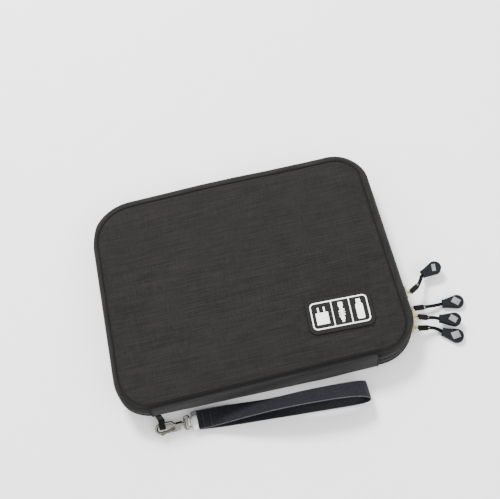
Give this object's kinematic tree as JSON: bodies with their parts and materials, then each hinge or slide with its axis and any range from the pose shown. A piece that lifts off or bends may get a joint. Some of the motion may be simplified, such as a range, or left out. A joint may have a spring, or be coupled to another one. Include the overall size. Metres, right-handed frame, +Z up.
{
  "type": "cable organizer pouch",
  "caption": "Flat padded cable organizer with two zipped compartments that fold at the spine, corded zipper pulls, a pictogram badge and a wrist strap on a snap hook.",
  "frame": {"origin": "centre of the bag's outline on the floor, at the underside of the bottom panel", "axes": "+X along the spine towards the zipper pulls, +Y from the spine to the back edge, +Z up out of the lid"},
  "size_m": [0.2833, 0.2103, 0.0315],
  "materials": {
    "shell_fabric": "matte",
    "gusset_fabric": "matte",
    "spine_fabric": "matte",
    "piping": "matte",
    "foam": "matte",
    "lining": "satin",
    "stiffener": "matte",
    "mesh": "matte",
    "binding": "matte",
    "elastic": "ribbed",
    "zip_tape": "matte",
    "badge_rubber": "satin",
    "badge_print": "matte",
    "slider_metal": "polished",
    "pull_cord": "matte",
    "hitch_sleeve": "matte",
    "grip_rubber": "satin",
    "grip_label": "matte",
    "hook_metal": "polished",
    "clamp_metal": "polished",
    "strap_webbing": "matte",
    "tab_ribbon": "matte"
  },
  "bodies": {
    "bottom_cover": {"bottom_outer_fabric": "shell_fabric", "bottom_foam_pad": "foam", "bottom_lining": "lining", "bottom_gusset": "gusset_fabric", "lower_zip_bottom_half": "zip_tape", "bottom_slip_pocket": "mesh", "bottom_pocket_binding": "binding"},
    "core": {"spine_panel": "spine_fabric", "middle_gusset": "gusset_fabric", "lower_zip_top_half": "zip_tape", "upper_zip_bottom_half": "zip_tape", "divider_board": "stiffener", "divider_lining_top": "lining", "divider_lining_bottom": "lining", "elastic_cable_loops": "elastic", "strap_tab": "tab_ribbon"},
    "lid": {"top_outer_fabric": "shell_fabric", "top_foam_pad": "foam", "top_lining": "lining", "top_gusset": "gusset_fabric", "upper_zip_top_half": "zip_tape", "top_piping": "piping", "badge_base": "badge_rubber", "badge_icons": "badge_print", "lid_mesh_pocket": "mesh", "lid_pocket_binding": "binding"},
    "upper_left_slider": {"upper_left_slider": "slider_metal"},
    "upper_left_pull": {"upper_left_bail": "slider_metal", "upper_left_hitch": "hitch_sleeve", "upper_left_cord": "pull_cord", "upper_left_grip": "grip_rubber", "upper_left_label": "grip_label"},
    "lower_left_slider": {"lower_left_slider": "slider_metal"},
    "lower_left_pull": {"lower_left_bail": "slider_metal", "lower_left_hitch": "hitch_sleeve", "lower_left_cord": "pull_cord", "lower_left_grip": "grip_rubber", "lower_left_label": "grip_label"},
    "upper_right_slider": {"upper_right_slider": "slider_metal"},
    "upper_right_pull": {"upper_right_bail": "slider_metal", "upper_right_hitch": "hitch_sleeve", "upper_right_cord": "pull_cord", "upper_right_grip": "grip_rubber", "upper_right_label": "grip_label"},
    "lower_right_slider": {"lower_right_slider": "slider_metal"},
    "lower_right_pull": {"lower_right_bail": "slider_metal", "lower_right_hitch": "hitch_sleeve", "lower_right_cord": "pull_cord", "lower_right_grip": "grip_rubber", "lower_right_label": "grip_label"},
    "snap_hook": {"hook_frame": "hook_metal"},
    "hook_gate": {"hook_gate": "hook_metal"},
    "swivel": {"swivel_ring": "hook_metal"},
    "strap": {"strap_clamp": "clamp_metal", "wrist_strap": "strap_webbing"}
  },
  "joints": [
    {"name": "lower_compartment_hinge", "type": "hinge", "parent": "bottom_cover", "child": "core", "pos_m": [0, -0.0912, 0.0013], "axis": [1, 0, 0], "range_deg": [0, 70]},
    {"name": "lid_hinge", "type": "hinge", "parent": "core", "child": "lid", "pos_m": [0, -0.089, 0.0303], "axis": [1, 0, 0], "range_deg": [0, 110]},
    {"name": "upper_left_zip_slide", "type": "slide", "parent": "core", "child": "upper_left_slider", "axis": [0, 1, 0], "range_m": [0, 0.095]},
    {"name": "upper_left_pull_lift", "type": "hinge", "parent": "upper_left_slider", "child": "upper_left_pull", "pos_m": [0.12155, -0.045, 0.02], "axis": [0, -1, 0], "range_deg": [0, 80]},
    {"name": "lower_left_zip_slide", "type": "slide", "parent": "core", "child": "lower_left_slider", "axis": [0, 1, 0], "range_m": [0, 0.082]},
    {"name": "lower_left_pull_lift", "type": "hinge", "parent": "lower_left_slider", "child": "lower_left_pull", "pos_m": [0.12155, -0.0554, 0.01], "axis": [0, -1, 0], "range_deg": [0, 80]},
    {"name": "upper_right_zip_arc", "type": "hinge", "parent": "core", "child": "upper_right_slider", "pos_m": [0.087, -0.0605, 0.02], "axis": [0, 0, -1], "range_deg": [0, 52]},
    {"name": "upper_right_pull_lift", "type": "hinge", "parent": "upper_right_slider", "child": "upper_right_pull", "pos_m": [0.12113, -0.06585, 0.02], "axis": [-0.1548, -0.9879, 0], "range_deg": [0, 40]},
    {"name": "lower_right_zip_arc", "type": "hinge", "parent": "core", "child": "lower_right_slider", "pos_m": [0.087, -0.0605, 0.01], "axis": [0, 0, -1], "range_deg": [0, 62]},
    {"name": "lower_right_pull_lift", "type": "hinge", "parent": "lower_right_slider", "child": "lower_right_pull", "pos_m": [0.11982, -0.07131, 0.01], "axis": [-0.3129, -0.9498, 0], "range_deg": [0, 45]},
    {"name": "hook_swing", "type": "hinge", "parent": "core", "child": "snap_hook", "pos_m": [-0.0882, -0.0969, 0.0046], "axis": [0, 0, -1], "range_deg": [0, 25]},
    {"name": "gate_pivot", "type": "hinge", "parent": "snap_hook", "child": "hook_gate", "pos_m": [-0.0798, -0.1025, 0.0046], "axis": [0, 0, -1], "range_deg": [0, 18], "stiffness_Nm_per_rad": 0.003, "springref_deg": -5.73},
    {"name": "hook_swivel", "type": "hinge", "parent": "snap_hook", "child": "swivel", "pos_m": [-0.0749, -0.1002, 0.0046], "axis": [1, 0, 0], "range_deg": [0, 90]},
    {"name": "strap_lift", "type": "hinge", "parent": "swivel", "child": "strap", "pos_m": [-0.0672, -0.1002, 0.0046], "axis": [0, -1, 0], "range_deg": [0, 80]}
  ]
}
